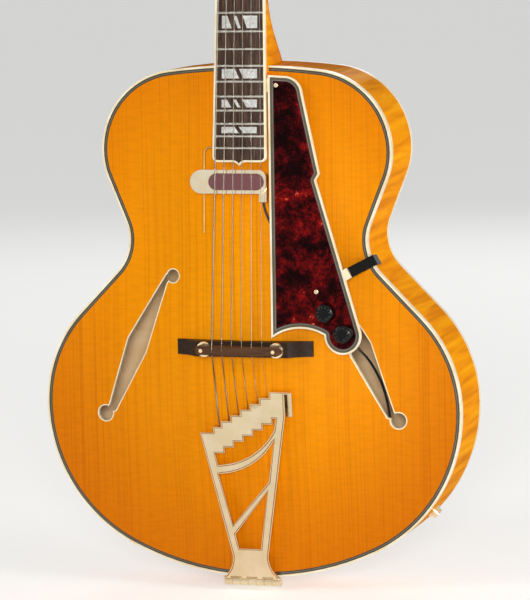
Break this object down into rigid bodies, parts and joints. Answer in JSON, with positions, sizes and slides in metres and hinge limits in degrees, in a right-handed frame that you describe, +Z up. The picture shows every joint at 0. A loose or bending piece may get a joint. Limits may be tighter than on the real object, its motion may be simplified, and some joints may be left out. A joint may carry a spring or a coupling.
{
  "type": "archtop guitar",
  "caption": "Hollow archtop guitar with carved plates, bound body, stepped hinged tailpiece, adjustable bridge, floating pickup and finger rest with knobs.",
  "frame": {"origin": "middle of the strap groove of the end button, under the butt of the body", "axes": "+Z up the body from the butt to the neck, -Y out of the front, +X to the treble side"},
  "size_m": [0.453, 0.148, 1.068],
  "materials": {
    "spruce": "gloss",
    "maple": "gloss",
    "inner_wood": "matte",
    "cream_plastic": "gloss",
    "ebony": "satin",
    "rosewood": "satin",
    "pearl": "gloss",
    "bone": "satin",
    "nickel_silver": "polished",
    "steel": "satin",
    "gold_plate": "polished",
    "tortoise": "gloss",
    "black_plastic": "gloss",
    "pot_steel": "matte",
    "clear_plastic": "gloss",
    "coil_cover": "satin",
    "cable": "matte"
  },
  "bodies": {
    "guitar": {"top_plate": "spruce", "back_plate": "maple", "rib_bass": "maple", "rib_treble": "maple", "neck": "maple", "heel_cap": "maple", "end_blocks": "inner_wood", "linings": "inner_wood", "tone_bars": "inner_wood", "top_binding": "cream_plastic", "back_binding": "cream_plastic", "f_hole_bindings": "cream_plastic", "fingerboard_binding": "cream_plastic", "pickguard_binding": "cream_plastic", "guard_blocks": "cream_plastic", "fingerboard": "ebony", "headstock_overlay": "ebony", "bridge_base": "ebony", "position_inlays": "pearl", "nut": "bone", "frets": "nickel_silver", "truss_rod": "steel", "strings": "steel", "string_tails": "steel", "pickup_rod": "steel", "screws": "gold_plate", "tuner_housings": "gold_plate", "tuner_bushings": "gold_plate", "bridge_posts": "gold_plate", "tailpiece_bracket": "gold_plate", "hinge_pin": "gold_plate", "strap_buttons": "gold_plate", "output_jack": "gold_plate", "pickguard": "tortoise", "truss_rod_cover": "black_plastic", "guard_bracket_arm": "black_plastic", "potentiometers": "pot_steel", "bracket_bumper": "clear_plastic", "wiring": "cable"},
    "key_1": {"tuner_key_1": "gold_plate"},
    "post_1": {"string_post_1": "gold_plate"},
    "key_2": {"tuner_key_2": "gold_plate"},
    "post_2": {"string_post_2": "gold_plate"},
    "key_3": {"tuner_key_3": "gold_plate"},
    "post_3": {"string_post_3": "gold_plate"},
    "key_4": {"tuner_key_4": "gold_plate"},
    "post_4": {"string_post_4": "gold_plate"},
    "key_5": {"tuner_key_5": "gold_plate"},
    "post_5": {"string_post_5": "gold_plate"},
    "key_6": {"tuner_key_6": "gold_plate"},
    "post_6": {"string_post_6": "gold_plate"},
    "saddle": {"bridge_saddle": "rosewood"},
    "wheel_bass": {"thumbwheel_bass": "gold_plate"},
    "wheel_treble": {"thumbwheel_treble": "gold_plate"},
    "tailpiece": {"tailpiece_frame": "gold_plate", "string_ball_ends": "gold_plate"},
    "volume_control": {"volume_knob": "black_plastic"},
    "tone_control": {"tone_knob": "black_plastic"},
    "pickup": {"pickup_housing": "gold_plate", "pickup_coil": "coil_cover"}
  },
  "joints": [
    {"name": "key_1_turn", "type": "hinge", "parent": "guitar", "child": "key_1", "pos_m": [-0.0205, 0.01107, 0.92445], "axis": [-1, 0, 0], "continuous": true},
    {"name": "post_1_turn", "type": "hinge", "parent": "guitar", "child": "post_1", "pos_m": [-0.0205, 0.00862, 0.9326], "axis": [0, -0.9444, 0.3289], "continuous": true},
    {"name": "key_2_turn", "type": "hinge", "parent": "guitar", "child": "key_2", "pos_m": [-0.023, 0.02423, 0.96223], "axis": [-1, 0, 0], "continuous": true},
    {"name": "post_2_turn", "type": "hinge", "parent": "guitar", "child": "post_2", "pos_m": [-0.023, 0.02177, 0.97037], "axis": [0, -0.9444, 0.3289], "continuous": true},
    {"name": "key_3_turn", "type": "hinge", "parent": "guitar", "child": "key_3", "pos_m": [-0.0255, 0.03738, 1], "axis": [-1, 0, 0], "continuous": true},
    {"name": "post_3_turn", "type": "hinge", "parent": "guitar", "child": "post_3", "pos_m": [-0.0255, 0.03493, 1.00815], "axis": [0, -0.9444, 0.3289], "continuous": true},
    {"name": "key_4_turn", "type": "hinge", "parent": "guitar", "child": "key_4", "pos_m": [0.0255, 0.04191, 1.013], "axis": [1, 0, 0], "continuous": true},
    {"name": "post_4_turn", "type": "hinge", "parent": "guitar", "child": "post_4", "pos_m": [0.0255, 0.03493, 1.00815], "axis": [0, -0.9444, 0.3289], "continuous": true},
    {"name": "key_5_turn", "type": "hinge", "parent": "guitar", "child": "key_5", "pos_m": [0.023, 0.02876, 0.97523], "axis": [1, 0, 0], "continuous": true},
    {"name": "post_5_turn", "type": "hinge", "parent": "guitar", "child": "post_5", "pos_m": [0.023, 0.02177, 0.97037], "axis": [0, -0.9444, 0.3289], "continuous": true},
    {"name": "key_6_turn", "type": "hinge", "parent": "guitar", "child": "key_6", "pos_m": [0.0205, 0.0156, 0.93745], "axis": [1, 0, 0], "continuous": true},
    {"name": "post_6_turn", "type": "hinge", "parent": "guitar", "child": "post_6", "pos_m": [0.0205, 0.00862, 0.9326], "axis": [0, -0.9444, 0.3289], "continuous": true},
    {"name": "saddle_lift", "type": "slide", "parent": "guitar", "child": "saddle", "axis": [0, -1, 0], "range_m": [-0.001, 0.003], "deforming": ["strings", "string_tails"]},
    {"name": "wheel_bass_turn", "type": "hinge", "parent": "saddle", "child": "wheel_bass", "pos_m": [-0.039, -0.0766, 0.25319], "axis": [0, -1, 0], "range_deg": [-450, 1350]},
    {"name": "wheel_treble_turn", "type": "hinge", "parent": "saddle", "child": "wheel_treble", "pos_m": [0.039, -0.0766, 0.25319], "axis": [0, -1, 0], "range_deg": [-450, 1350]},
    {"name": "tailpiece_hinge", "type": "hinge", "parent": "guitar", "child": "tailpiece", "pos_m": [0, -0.0471, 0.0043], "axis": [1, 0, 0], "range_deg": [-0.4, 10], "stiffness_Nm_per_rad": 10, "deforming": ["strings", "string_tails"]},
    {"name": "volume_turn", "type": "hinge", "parent": "guitar", "child": "volume_control", "pos_m": [0.0925, -0.07019, 0.29282], "axis": [0, -0.9978, 0.0663], "range_deg": [-150, 150]},
    {"name": "tone_turn", "type": "hinge", "parent": "guitar", "child": "tone_control", "pos_m": [0.1115, -0.07159, 0.27177], "axis": [0, -0.9978, 0.0663], "range_deg": [-150, 150]},
    {"name": "pickup_slide", "type": "slide", "parent": "guitar", "child": "pickup", "axis": [0, -0.0906, -0.9959], "range_m": [0, 0.028], "deforming": ["wiring"]}
  ],
  "couplings": [
    {"joint": "post_1_turn", "follows": "key_1_turn", "ratio": 0.055556},
    {"joint": "post_2_turn", "follows": "key_2_turn", "ratio": 0.055556},
    {"joint": "post_3_turn", "follows": "key_3_turn", "ratio": 0.055556},
    {"joint": "post_4_turn", "follows": "key_4_turn", "ratio": 0.055556},
    {"joint": "post_5_turn", "follows": "key_5_turn", "ratio": 0.055556},
    {"joint": "post_6_turn", "follows": "key_6_turn", "ratio": 0.055556},
    {"joint": "wheel_treble_turn", "follows": "wheel_bass_turn", "ratio": 1},
    {"joint": "saddle_lift", "follows": "wheel_bass_turn", "m_per_rad": 0.00012732}
  ]
}
